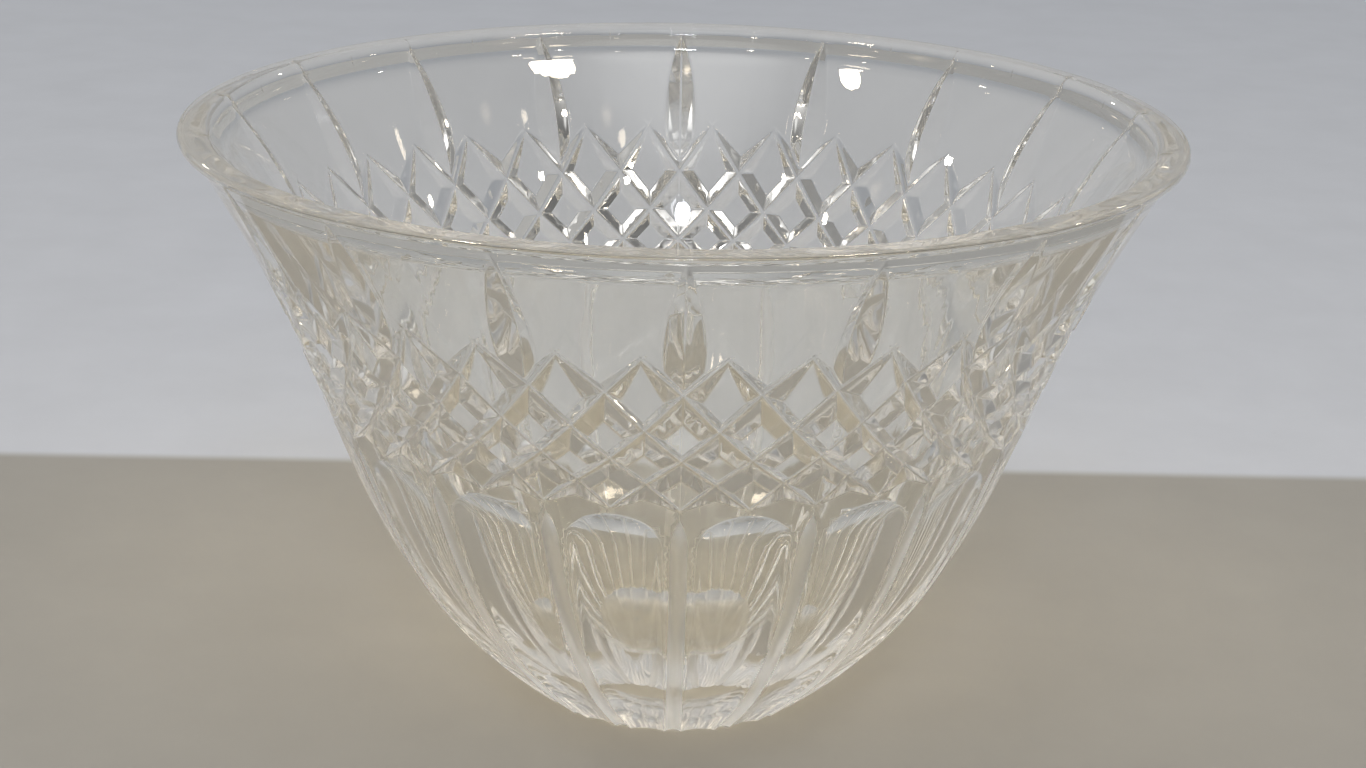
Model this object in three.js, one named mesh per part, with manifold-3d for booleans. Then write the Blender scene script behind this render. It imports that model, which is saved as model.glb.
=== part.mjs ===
// A cut crystal bowl: one thick body of clear glass with no loose or moving piece. Its inside is
// smooth. Its outer wall is ground with wheels: lancets under the lip, a belt of diamonds round the
// waist, and hollow flutes with pencil cuts between them down to the foot.
// Millimetres, +Z up, the bowl standing on z = 0 with one lancet facing -Y.
import * as THREE from 'three';
import Module from 'manifold-3d';
import { mergeGeometries, mergeVertices } from 'three/addons/utils/BufferGeometryUtils.js';

// Driving sizes of the uncut glass
const RIM_RADIUS = 125;
const HEIGHT = 151;
const FOOT_RADIUS = 37;
const RIM_THICKNESS = 8.5;
const FLOOR_THICKNESS = 13;
const LIP_RADIUS = 1.3; // of the bead that the wall ends in
const LIP_STANDS_OUT = 0.7; // from the wall just below it
const LIP_UNDERSIDE = Math.PI / 6; // how far below its widest the bead begins, as an angle
const RIM_ROUNDING = 3; // of the rim's inner edge

// Handles of the two wall curves, as shares of the rim's radius and of the height
const BELLY = { reach: 0.7385, rise: 0.294 };
const WAIST = { reach: 0.635, rise: 0.517 };
const HOLLOW_BELLY_REACH = 0.706;
const HOLLOW_WAIST = { reach: 0.522, rise: 0.556 };

// The cut pattern. The lancets' and flutes' widths are shares of the way round from one repeat to
// the next.
const REPEATS = 18; // lancets, flutes and pencil cuts round the bowl
const DIAMOND_TOP = 122.9;
const HALF_ROWS = 5; // half-diamonds that each slanting cut runs past
const HALF_ROW = 12.1; // height of the uppermost
const ROW_SHRINK = 0.812; // height of each, as a share of the one above it
const DIAMOND_FLAT = 0.48; // share of a diamond's width that is left uncut
const RUN_OUT = 0.18; // how far each slanting cut runs on past the tips of the diamonds, in half-diamonds
const LANCET_BELOW_LIP = 0.5;
const LANCET_WIDTH = 0.25;
const LANCET_WIDEST = 0.62; // share of its length, from the tip
const LANCET_TIP_BEND = 1.65;
const LANCET_FOOT_BEND = 2.4;
const FLUTE_BELOW_DIAMONDS = 1.9;
const FLUTE_WIDTH = 0.74;
const FLUTE_DEPTH = 0.21; // share of its half width
const FLUTE_ARCH = 9; // height of its rounded top
const PENCIL_BELOW_DIAMONDS = 2.7;
const PENCIL_WIDTH = 4; // the same all the way down
const PENCIL_DEPTH = 0.9;
const MITRE_ANGLE = 90; // between the two faces of the wheel that cuts the diamonds, in degrees
const LANCET_ANGLE = 100; // and of the wheel that cuts the lancets

// How finely the curves are drawn
const HOLLOW_STEPS = 10;
const BEAD_STEPS = 3;
const LANCET_STEPS = 7;
const ARCH_STEPS = 3;
const LOWER_ROWS = 5;
const UPPER_ROWS = 3;
const FLUTE_ARC_STEPS = 6;
const PENCIL_ARC_STEPS = 4;

// The wall is cut flat and then wrapped round. On the flat, 1 across is half a diamond's width,
// 1 up is half a diamond's height, and depth has the same measure as the width.
const ACROSS = (2 * Math.PI) / (REPEATS * 4);
const DIAMOND_BOTTOM = DIAMOND_TOP - rowDrop(HALF_ROWS);
const REPEAT_WIDTH = 4;
const STRIP_THICKNESS = 1;
const WHEEL_CLEAR = 0.05; // how far each cutter stands out of the glass
const FOOT_ALLOWANCE = 3; // millimetres of wall below the foot, trimmed off at the end
const MERGE = 1e-4;
const TOUCH = 2e-4; // corners this near on the flat are one
const SIDE_FACE = 1e-3; // a block's sides have less outward slope than this
const ARCH_FOOT = DIAMOND_BOTTOM - FLUTE_BELOW_DIAMONDS - FLUTE_ARCH;
const MITRE_SPREAD = Math.tan(THREE.MathUtils.degToRad(MITRE_ANGLE / 2));
const LANCET_SPREAD = Math.tan(THREE.MathUtils.degToRad(LANCET_ANGLE / 2));

const wasm = await Module();
wasm.setup();

const { lerp } = THREE.MathUtils;
const point2 = (r, z) => new THREE.Vector2(r, z);

// How far a place in the diamonds is below their top, by the rows above it
function rowDrop(rows) {
  return (HALF_ROW * (1 - ROW_SHRINK ** rows)) / (1 - ROW_SHRINK);
}

// The flat's measure of a height above or below the diamonds
function onFlat(height) {
  if (height > DIAMOND_BOTTOM) return (height - DIAMOND_TOP) / HALF_ROW;
  return (height - DIAMOND_BOTTOM) / HALF_ROW - HALF_ROWS;
}

function heightOf(up) {
  if (up > 0) return DIAMOND_TOP + up * HALF_ROW;
  if (up > -HALF_ROWS) return DIAMOND_TOP - rowDrop(-up);
  return DIAMOND_BOTTOM + (up + HALF_ROWS) * HALF_ROW;
}

// The outer wall before cutting, from the edge of the foot up to the lip
const wallEnd = point2(
  RIM_RADIUS - LIP_RADIUS - LIP_STANDS_OUT,
  HEIGHT - LIP_RADIUS * (1 + Math.sin(LIP_UNDERSIDE)),
);
const wallCurve = new THREE.CubicBezierCurve(
  point2(FOOT_RADIUS, 0),
  point2(BELLY.reach * RIM_RADIUS, BELLY.rise * HEIGHT),
  point2(WAIST.reach * RIM_RADIUS, WAIST.rise * HEIGHT),
  wallEnd,
);

const FLAT_BOTTOM = onFlat(-FOOT_ALLOWANCE);
const FLAT_TOP = onFlat(wallEnd.y);

// The smooth inside, from the rim down to the middle of the floor
const hollowRim = point2(RIM_RADIUS - RIM_THICKNESS, HEIGHT - RIM_ROUNDING);
const hollowCurve = new THREE.CubicBezierCurve(
  hollowRim,
  point2(HOLLOW_WAIST.reach * RIM_RADIUS, HOLLOW_WAIST.rise * HEIGHT),
  point2(HOLLOW_BELLY_REACH * RIM_RADIUS, FLOOR_THICKNESS),
  point2(0, FLOOR_THICKNESS),
);

// The wall's place and direction at a height. Below the foot it runs straight on.
function wallAt(height) {
  let low = 0;
  let high = 1;
  while (high - low > 1e-9) {
    const middle = (low + high) / 2;
    if (wallCurve.getPoint(middle).y < height) low = middle;
    else high = middle;
  }
  const place = wallCurve.getPoint(low);
  const slope = wallCurve.getTangent(low);
  place.addScaledVector(slope, (height - place.y) / slope.y);
  return { place, slope };
}

function toSolid(geometry) {
  const bare = geometry.clone();
  bare.deleteAttribute('normal');
  bare.deleteAttribute('uv');
  const joined = mergeVertices(bare, MERGE);
  const vertProperties = new Float32Array(joined.attributes.position.array);
  const triVerts = new Uint32Array(joined.index.array);
  return new wasm.Manifold(new wasm.Mesh({ numProp: 3, vertProperties, triVerts }));
}

function toGeometry(positions, index) {
  const geometry = new THREE.BufferGeometry();
  geometry.setAttribute('position', new THREE.Float32BufferAttribute(positions, 3));
  geometry.setIndex(Array.from(index));
  return geometry;
}

// A closed cutter along stations on the flat wall. Each station has its section as pairs of a
// distance across the cut and a distance out of the glass.
function sweptCutter(stations) {
  const corners = stations[0].section.length;
  const last = (stations.length - 1) * corners;
  const positions = [];
  const index = [];
  stations.forEach(({ across, up, section }, i) => {
    const before = stations[Math.max(i - 1, 0)];
    const after = stations[Math.min(i + 1, stations.length - 1)];
    const along = point2(after.across - before.across, after.up - before.up).normalize();
    for (const [side, out] of section) {
      positions.push(across - along.y * side, up + along.x * side, out);
    }
  });
  for (let here = 0; here < last; here += 1) {
    const beside = here % corners === corners - 1 ? here + 1 - corners : here + 1;
    index.push(here, beside, beside + corners, here, beside + corners, here + corners);
  }
  for (let j = 1; j + 1 < corners; j += 1) {
    index.push(0, j + 1, j, last, last + j, last + j + 1);
  }
  return toGeometry(positions, index);
}

// The edge of a mitre wheel, half this wide in the glass. Its spread is the half width for a depth of 1.
function mitreSection(half, spread) {
  const reach = half + WHEEL_CLEAR * spread;
  return [[reach, WHEEL_CLEAR], [-reach, WHEEL_CLEAR], [0, -half / spread]];
}

// A slanting cut from just above a diamond's tip down past HALF_ROWS half-diamonds. The wheel comes
// into the glass over the first of them and out over the last.
function slantCut(start, turn) {
  const full = (1 - DIAMOND_FLAT) * Math.SQRT1_2;
  const halfAt = (row) => (full * (Math.min(row, HALF_ROWS - row, 1) + RUN_OUT)) / (1 + RUN_OUT);
  const stations = [-RUN_OUT, 1, HALF_ROWS - 1, HALF_ROWS + RUN_OUT].map((row) => ({
    across: start + turn * row,
    up: -row,
    section: mitreSection(halfAt(row), MITRE_SPREAD),
  }));
  return sweptCutter(stations);
}

// A leaf-shaped cut, pointed at the lip and at the valley between two diamonds
function lancetCut() {
  const full = (LANCET_WIDTH * REPEAT_WIDTH) / 2;
  const stations = [];
  for (let i = 0; i <= LANCET_STEPS; i += 1) {
    const down = i / LANCET_STEPS;
    const nearTip = down < LANCET_WIDEST;
    const reach = nearTip ? LANCET_WIDEST : 1 - LANCET_WIDEST;
    const bend = nearTip ? LANCET_TIP_BEND : LANCET_FOOT_BEND;
    stations.push({
      across: 0,
      up: lerp(onFlat(wallEnd.y - LANCET_BELOW_LIP), -1, down),
      section: mitreSection(full * (1 - (Math.abs(down - LANCET_WIDEST) / reach) ** bend), LANCET_SPREAD),
    });
  }
  return sweptCutter(stations);
}

// The rounded edge of a wheel, sunk to a share of its full depth
function roundSection(fullHalf, fullDepth, sunk, steps) {
  const half = fullHalf * Math.sqrt(sunk + WHEEL_CLEAR / fullDepth);
  const section = [];
  for (let i = 0; i <= steps; i += 1) {
    const side = lerp(-half, half, i / steps);
    section.push([side, fullDepth * ((side / fullHalf) ** 2 - sunk)]);
  }
  return section;
}

// Heights from the foot's trimmed end up to where the flutes' rounded tops begin
function lowerHeights() {
  const heights = [];
  for (let i = 0; i <= LOWER_ROWS; i += 1) heights.push(lerp(-FOOT_ALLOWANCE, ARCH_FOOT, i / LOWER_ROWS));
  return heights;
}

function fluteCut() {
  const across = REPEAT_WIDTH / 2;
  const half = (FLUTE_WIDTH * REPEAT_WIDTH) / 2;
  const section = (sunk) => roundSection(half, FLUTE_DEPTH * half, sunk, FLUTE_ARC_STEPS);
  const stations = [];
  for (let i = ARCH_STEPS; i >= 0; i -= 1) {
    const intoArch = Math.sin(((i / ARCH_STEPS) * Math.PI) / 2);
    const up = onFlat(ARCH_FOOT + FLUTE_ARCH * intoArch);
    stations.push({ across, up, section: section(1 - intoArch ** 2) });
  }
  stations.push({ across, up: onFlat(-2 * FOOT_ALLOWANCE), section: section(1) });
  return sweptCutter(stations);
}

// A narrow rounded cut down the land between two flutes, pointed at its top
function pencilCut() {
  const section = (height, sunk) => {
    const measure = wallAt(height).place.x * ACROSS;
    return roundSection(PENCIL_WIDTH / 2 / measure, PENCIL_DEPTH / measure, sunk, PENCIL_ARC_STEPS);
  };
  const tip = DIAMOND_BOTTOM - PENCIL_BELOW_DIAMONDS;
  const heights = [-2 * FOOT_ALLOWANCE, ...lowerHeights()].reverse();
  return sweptCutter([
    { across: 0, up: onFlat(tip), section: section(tip, 0) },
    ...heights.map((height) => ({ across: 0, up: onFlat(height), section: section(height, 1) })),
  ]);
}

// All that the wheels take out of half a repeat of the wall
function cutAway() {
  let cut = toSolid(lancetCut()).add(toSolid(fluteCut())).add(toSolid(pencilCut()));
  for (let start = -HALF_ROWS; start <= REPEAT_WIDTH / 2 + HALF_ROWS; start += 2) {
    cut = cut.add(toSolid(slantCut(start, 1))).add(toSolid(slantCut(start, -1)));
  }
  return cut;
}

// The blocks that half a repeat of the wall is cut in, each as [left, right, bottom, top]. They are
// low where the wall bends, and narrow under the lip.
function blocks() {
  const half = REPEAT_WIDTH / 2;
  const lower = lowerHeights().map(onFlat);
  const list = [[0, half, lower[LOWER_ROWS], 0]];
  for (let i = 0; i < LOWER_ROWS; i += 1) list.push([0, half, lower[i], lower[i + 1]]);
  for (let i = 0; i < UPPER_ROWS; i += 1) {
    const level = (k) => lerp(0, FLAT_TOP, k / UPPER_ROWS);
    for (let left = 0; left < half; left += 1) list.push([left, left + 1, level(i), level(i + 1)]);
  }
  return list;
}

// The cut face of a block, as triangles
function cutFace([left, right, bottom, top], cut) {
  const block = new THREE.BoxGeometry(right - left, top - bottom, STRIP_THICKNESS);
  block.translate((left + right) / 2, (bottom + top) / 2, -STRIP_THICKNESS / 2);
  const { vertProperties, triVerts } = toSolid(block).subtract(cut).getMesh();
  const corner = (i) => new THREE.Vector3().fromArray(vertProperties, 3 * triVerts[i]);
  const triangles = [];
  for (let i = 0; i < triVerts.length; i += 3) {
    const face = new THREE.Triangle(corner(i), corner(i + 1), corner(i + 2));
    if (face.getNormal(new THREE.Vector3()).z > SIDE_FACE) triangles.push([face.a, face.b, face.c]);
  }
  return triangles;
}

// Triangles with one corner for all that touch, those on a border lying exactly on it
function welded(triangles) {
  const kept = [];
  const weld = (corner) => {
    for (const border of [0, REPEAT_WIDTH / 2]) {
      if (Math.abs(corner.x - border) < TOUCH) corner.x = border;
    }
    for (const border of [FLAT_BOTTOM, FLAT_TOP]) {
      if (Math.abs(corner.y - border) < TOUCH) corner.y = border;
    }
    const same = kept.find((other) => other.distanceTo(corner) < TOUCH);
    if (!same) kept.push(corner);
    return same ?? corner;
  };
  return triangles.map((triangle) => triangle.map(weld)).filter((triangle) => new Set(triangle).size === 3);
}

// Splits each triangle that has another's corner on one of its edges, so that neighbours share
// all their corners
function withSharedCorners(triangles) {
  const corners = [...new Set(triangles.flat())];
  const closest = new THREE.Vector3();
  const liesOn = (edge) => (corner) => {
    if (corner.distanceTo(edge.start) < TOUCH || corner.distanceTo(edge.end) < TOUCH) return false;
    return edge.closestPointToPoint(corner, true, closest).distanceTo(corner) < TOUCH;
  };
  const waiting = [...triangles];
  const whole = [];
  while (waiting.length > 0) {
    const [a, b, c] = waiting.pop();
    const turns = [[a, b, c], [b, c, a], [c, a, b]];
    const splits = turns.map(([from, to]) => corners.find(liesOn(new THREE.Line3(from, to))));
    const turn = splits.findIndex((corner) => corner !== undefined);
    if (turn < 0) {
      whole.push([a, b, c]);
      continue;
    }
    const [from, to, far] = turns[turn];
    waiting.push([from, splits[turn], far], [splits[turn], to, far]);
  }
  return whole;
}

// A place on the flat, wrapped round the bowl at an angle from the front
function wrapped(flat, middleAngle, side) {
  const height = heightOf(flat.y);
  const { place, slope } = wallAt(height);
  const out = place.x * (1 + slope.y * ACROSS * flat.z);
  const angle = middleAngle + side * flat.x * ACROSS;
  return [out * Math.sin(angle), -out * Math.cos(angle), height - slope.x * place.x * ACROSS * flat.z];
}

// The whole outer wall, closed across its bottom
function wallGeometry() {
  const cut = cutAway();
  const triangles = withSharedCorners(welded(blocks().flatMap((block) => cutFace(block, cut))));
  const positions = [];
  for (let half = 0; half < 2 * REPEATS; half += 1) {
    const side = half % 2 === 0 ? 1 : -1;
    const middleAngle = Math.ceil(half / 2) * REPEAT_WIDTH * ACROSS;
    for (const triangle of triangles) {
      const corners = side > 0 ? triangle : [triangle[0], triangle[2], triangle[1]];
      const places = corners.map((flat) => wrapped(flat, middleAngle, side));
      positions.push(...places.flat());
      const low = [0, 1, 2].filter((k) => corners[k].y === FLAT_BOTTOM);
      if (low.length === 2) {
        const [a, b] = low[1] - low[0] === 1 ? low : [low[1], low[0]];
        positions.push(...places[b], ...places[a], 0, 0, -FOOT_ALLOWANCE);
      }
    }
  }
  return toGeometry(positions, Array(positions.length / 3).keys());
}

function arcPoints(centre, radius, from, to) {
  const points = [];
  for (let i = 0; i <= BEAD_STEPS; i += 1) {
    const angle = lerp(from, to, i / BEAD_STEPS);
    points.push(point2(centre.x + radius * Math.cos(angle), centre.y + radius * Math.sin(angle)));
  }
  return points;
}

// The lip, the rim and the smooth inside
function insideGeometry() {
  const bead = point2(RIM_RADIUS - LIP_RADIUS, HEIGHT - LIP_RADIUS);
  const innerEdge = point2(hollowRim.x + RIM_ROUNDING, hollowRim.y);
  const outline = [
    wallEnd,
    ...arcPoints(bead, LIP_RADIUS, -LIP_UNDERSIDE, Math.PI / 2),
    ...arcPoints(innerEdge, RIM_ROUNDING, Math.PI / 2, Math.PI).slice(0, -1),
    ...hollowCurve.getPoints(HOLLOW_STEPS),
  ];
  return new THREE.LatheGeometry(outline, REPEATS * REPEAT_WIDTH).rotateX(Math.PI / 2);
}

function bowlGeometry() {
  const inside = insideGeometry();
  inside.deleteAttribute('normal');
  inside.deleteAttribute('uv');
  const below = new THREE.BoxGeometry(4 * RIM_RADIUS, 4 * RIM_RADIUS, HEIGHT).translate(0, 0, -HEIGHT / 2);
  const glass = toSolid(mergeGeometries([wallGeometry(), inside])).subtract(toSolid(below));
  const { vertProperties, triVerts } = glass.getMesh();
  return toGeometry(vertProperties, triVerts);
}

const crystal = new THREE.MeshStandardMaterial({ color: 0xe6ebea, roughness: 0.04, metalness: 0 });

const bowl = new THREE.Mesh(bowlGeometry(), crystal);
bowl.name = 'bowl';

const cutCrystalBowl = new THREE.Group();
cutCrystalBowl.name = 'cut_crystal_bowl';
cutCrystalBowl.add(bowl);

export default cutCrystalBowl;
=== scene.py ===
"""The looks of a cut crystal bowl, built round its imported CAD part."""
import math

import bpy
import numpy as np
from mathutils import Matrix, Vector
from mathutils.geometry import delaunay_2d_cdt


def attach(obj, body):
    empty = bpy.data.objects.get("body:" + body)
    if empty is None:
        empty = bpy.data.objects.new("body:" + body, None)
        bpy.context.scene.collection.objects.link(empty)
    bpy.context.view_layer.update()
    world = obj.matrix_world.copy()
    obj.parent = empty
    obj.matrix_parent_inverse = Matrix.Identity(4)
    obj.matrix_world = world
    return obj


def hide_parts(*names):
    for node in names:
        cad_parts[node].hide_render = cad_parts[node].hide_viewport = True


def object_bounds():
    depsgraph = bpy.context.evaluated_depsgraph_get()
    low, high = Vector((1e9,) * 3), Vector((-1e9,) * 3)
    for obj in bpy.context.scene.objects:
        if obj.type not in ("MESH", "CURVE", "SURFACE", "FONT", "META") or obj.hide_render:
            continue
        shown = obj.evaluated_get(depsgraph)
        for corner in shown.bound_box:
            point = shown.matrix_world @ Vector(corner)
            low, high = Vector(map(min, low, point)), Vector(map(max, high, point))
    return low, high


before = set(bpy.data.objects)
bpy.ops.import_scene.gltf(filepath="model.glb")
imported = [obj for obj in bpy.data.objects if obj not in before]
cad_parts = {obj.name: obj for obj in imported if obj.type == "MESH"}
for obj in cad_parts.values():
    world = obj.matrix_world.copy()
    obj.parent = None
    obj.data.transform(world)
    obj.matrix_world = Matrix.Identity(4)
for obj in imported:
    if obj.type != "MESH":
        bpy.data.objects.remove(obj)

bl_info = {
    "name": "Cut crystal bowl",
    "version": (1, 0, 0),
    "blender": (4, 5, 0),
    "location": "3D View > Sidebar > Crystal bowl",
    "description": "Builds the looks of a cut crystal bowl round its packed CAD part",
    "category": "Object",
}

CAD_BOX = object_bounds()
CAD_HEIGHT = CAD_BOX[1].z

# The cut wall is drawn flat and then wrapped round. On the flat, 1 across is half a diamond's
# width, 1 up is half a diamond's height, and depth has the same measure as the width.
REPEAT_WIDTH = 4
HALF_ROWS = 5  # half-diamonds that each slanting cut runs past
DIAGONAL = math.sqrt(0.5)  # of a direction half across and half up
EDGE_COLUMNS = 6  # steps of the lip and the inside across half a repeat
FOOT_COLUMNS = 18  # steps of the foot's edge across half a repeat
CURVE_STEPS = 4001
BEAD_STEPS = 8
ROUNDING_STEPS = 8
HOLLOW_STEPS = 36
LANCET_STEPS = 400  # along which a lancet's edges are worked out
LANCET_FOOT_EVERY = 6  # of those steps, to a corner at its foot
LANCET_EDGE_EVERY = 12  # of those steps, to a corner along its sides
ARCH_STEPS = 16
PENCIL_STEPS = 40
PENCIL_POINT_STEPS = 12
HALVINGS = 40  # that find where the wall meets the foot
CREASE_STEP = 0.32  # between corners along a crease, on the flat
CREASE_SIDE = 0.034  # from a crease to the lines on either side of it
VALLEY_SIDE = 0.085  # from the bottom of a mitre cut to the lines where its rounding ends
ROW_STEP = 0.23  # between rows of points on the plain parts, on the flat
FLUTE_STEP = 0.14  # between points of a row among the flutes, on the flat
WALL_STEP = 0.34  # between points of a row above the flutes, on the flat
MERGE_WITHIN = 1e-4  # on the flat
SNAP_WITHIN = 3e-4  # of a border of the half repeat, on the flat
OUTSIDE = 1e-9  # past a border, on the flat
NORMAL_STEP = 1e-4
BELOW_FOOT = 0.003  # how far under the foot the wall is drawn on, so that its cuts run out, in metres
ABOVE_FOOT = 0.006  # a height that every cut has left the foot by, in metres
FIRST_ROW = 0.002  # height of the lowest row of points, in metres
SHELF_SHARE = 0.85  # of the lip's underside, which is flat
CUT, PENCIL, SMOOTH, FOOT, RIM = range(5)  # finishes of the glass
SAME_PLACE = 1e-8  # metres
TABLE_GAP = 0.0002  # keeps the table's face apart from the foot's, in metres
TABLE_REACH = 8.0  # metres


def length(name, description, default):
    return bpy.props.FloatProperty(
        name=name, description=description, default=default, unit="LENGTH", precision=5, min=0.0)


def share(name, description, default):
    return bpy.props.FloatProperty(
        name=name, description=description, default=default, subtype="FACTOR", min=0.0, max=1.0)


def linear(hex_value):
    """An sRGB hex value as a linear colour."""
    parts = [int(hex_value[k:k + 2], 16) / 255 for k in (0, 2, 4)]
    return [c / 12.92 if c <= 0.04045 else ((c + 0.055) / 1.055) ** 2.4 for c in parts] + [1.0]


def colour(name, description, hex_value):
    return bpy.props.FloatVectorProperty(
        name=name, description=description, default=linear(hex_value), size=4,
        subtype="COLOR", min=0.0, max=1.0)


class CrystalBowlForm(bpy.types.PropertyGroup):
    """Sizes of the uncut glass."""
    rim_radius: length("Rim radius", "Radius over the lip", 0.125)
    height: length("Height", "Height from the table to the rim", CAD_HEIGHT)
    foot_radius: length("Foot radius", "Radius of the flat foot", 0.037)
    rim_thickness: length("Rim thickness", "Thickness of the wall at the rim", 0.0085)
    floor_thickness: length("Floor thickness", "Thickness of the glass under the hollow", 0.013)
    lip_radius: length("Lip radius", "Radius of the bead that the wall ends in", 0.0013)
    lip_stands_out: length("Lip stands out", "How far the bead stands out from the wall", 0.0007)
    rim_rounding: length("Rim rounding", "Rounding of the rim's inner edge", 0.003)
    foot_rounding: length("Foot rounding", "Worn edge between the wall and the foot", 0.0006)


class CrystalBowlCuts(bpy.types.PropertyGroup):
    """Sizes of the cut pattern."""
    repeats: bpy.props.IntProperty(
        name="Repeats", description="Lancets, flutes and pencil cuts round the bowl", default=18, min=6)
    diamond_top: length("Diamond top", "Height of the belt of diamonds", 0.1229)
    half_row: length("Half row", "Height of the uppermost half of a diamond", 0.0121)
    row_shrink: share("Row shrink", "Height of each half row as a share of the one above", 0.812)
    diamond_flat: share("Diamond flat", "Share of a diamond's width that is left uncut", 0.48)
    run_out: share("Run-out", "How far slanting cuts run on past the diamonds' tips, in half-diamonds", 0.18)
    lancet_below_lip: length("Lancet below lip", "Gap between the lip and a lancet's tip", 0.0005)
    lancet_width: share("Lancet width", "Share of a repeat", 0.25)
    lancet_widest: share("Lancet widest", "Where it is widest, as a share of its length from the tip", 0.62)
    flute_below: length("Flute below", "Gap between the diamonds and a flute's top", 0.0019)
    flute_width: share("Flute width", "Share of a repeat", 0.74)
    flute_depth: share("Flute depth", "Share of a flute's half width", 0.21)
    flute_arch: length("Flute arch", "Height of a flute's rounded top", 0.009)
    pencil_below: length("Pencil below", "Gap between the diamonds and a pencil cut's tip", 0.0027)
    pencil_point: length("Pencil point", "Length of a pencil cut's pointed top", 0.0075)
    pencil_width: length("Pencil width", "Width of a pencil cut", 0.004)
    pencil_depth: length("Pencil depth", "Depth of a pencil cut", 0.0009)
    mitre_angle: bpy.props.FloatProperty(
        name="Mitre angle", description="Between the two faces of the wheel that cuts the diamonds",
        default=math.radians(90), subtype="ANGLE")
    lancet_angle: bpy.props.FloatProperty(
        name="Lancet angle", description="Between the two faces of the wheel that cuts the lancets",
        default=math.radians(100), subtype="ANGLE")
    edge_rounding: share("Edge rounding", "How much the polish takes off the cuts' edges", 0.035)
    mitre_rounding: share("Mitre rounding", "Rounding of the bottoms of the cuts between diamonds", 0.045)
    lancet_rounding: share("Lancet rounding", "Rounding of the bottom of a lancet", 0.012)


class CrystalBowlGlass(bpy.types.PropertyGroup):
    """Finish of the glass."""
    tint: colour("Tint", "Faint tint of the lead crystal", "FBFAF6")
    polish: share("Polish", "Roughness of the polished cuts", 0.012)
    satin: share("Satin", "Roughness of the pencil cuts, which are left satin", 0.3)
    inside_polish: share("Inside polish", "Roughness of the fire-polished inside", 0.01)
    inside_wear: share("Inside wear", "How much rougher use has made the inside near its floor", 0.05)
    foot_wear: share("Foot wear", "Roughness of the ground and polished foot", 0.05)


class CrystalBowlStage(bpy.types.PropertyGroup):
    """The table, the light and the camera."""
    table: colour("Table", "Pale table under the bowl", "9D9C98")
    behind: colour("Behind", "Cooler ground behind the bowl", "C3C8D1")
    table_depth: length("Table depth", "Where the cooler ground begins, behind the bowl's axis", 0.158)
    room: colour("Room", "The room all round", "FFFFFF")
    dark_side: share("Dark side", "Light of the room behind the camera, as a share of the light ahead", 0.5)
    warm: colour("Warm", "Light of the warm lamps", "FFF0DA")
    cool: colour("Cool", "Light of the lamp over the camera", "F2F5FF")


# Handles of the two wall curves, as shares of the rim's radius and of the height
BELLY = (0.7385, 0.294)
WAIST = (0.635, 0.517)
HOLLOW_BELLY_REACH = 0.706
HOLLOW_WAIST = (0.522, 0.556)
LIP_UNDERSIDE = math.pi / 6  # how far below its widest the bead begins, as an angle
LANCET_TIP_BEND = 1.65
LANCET_FOOT_BEND = 2.4


def bezier(corners, steps):
    """Points and directions along a cubic curve."""
    a, b, c, d = [np.array(p, float) for p in corners]
    t = np.linspace(0, 1, steps)[:, None]
    s = 1 - t
    points = s**3 * a + 3 * s * s * t * b + 3 * s * t * t * c + t**3 * d
    along = s * s * (b - a) + 2 * s * t * (c - b) + t * t * (d - c)
    return points, along / np.linalg.norm(along, axis=1)[:, None]


def rounded_max(a, b, rounding):
    """The larger of two depths, with the edge between them rounded."""
    return np.maximum(a, b) + np.maximum(rounding - np.abs(a - b), 0) ** 2 / (4 * rounding)


def meet(a, b, c, d):
    """Where the line through a and b meets the line through c and d."""
    u, v = b - a, d - c
    t = ((c - a)[0] * v[1] - (c - a)[1] * v[0]) / (u[0] * v[1] - u[1] * v[0])
    return a + t * u


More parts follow.
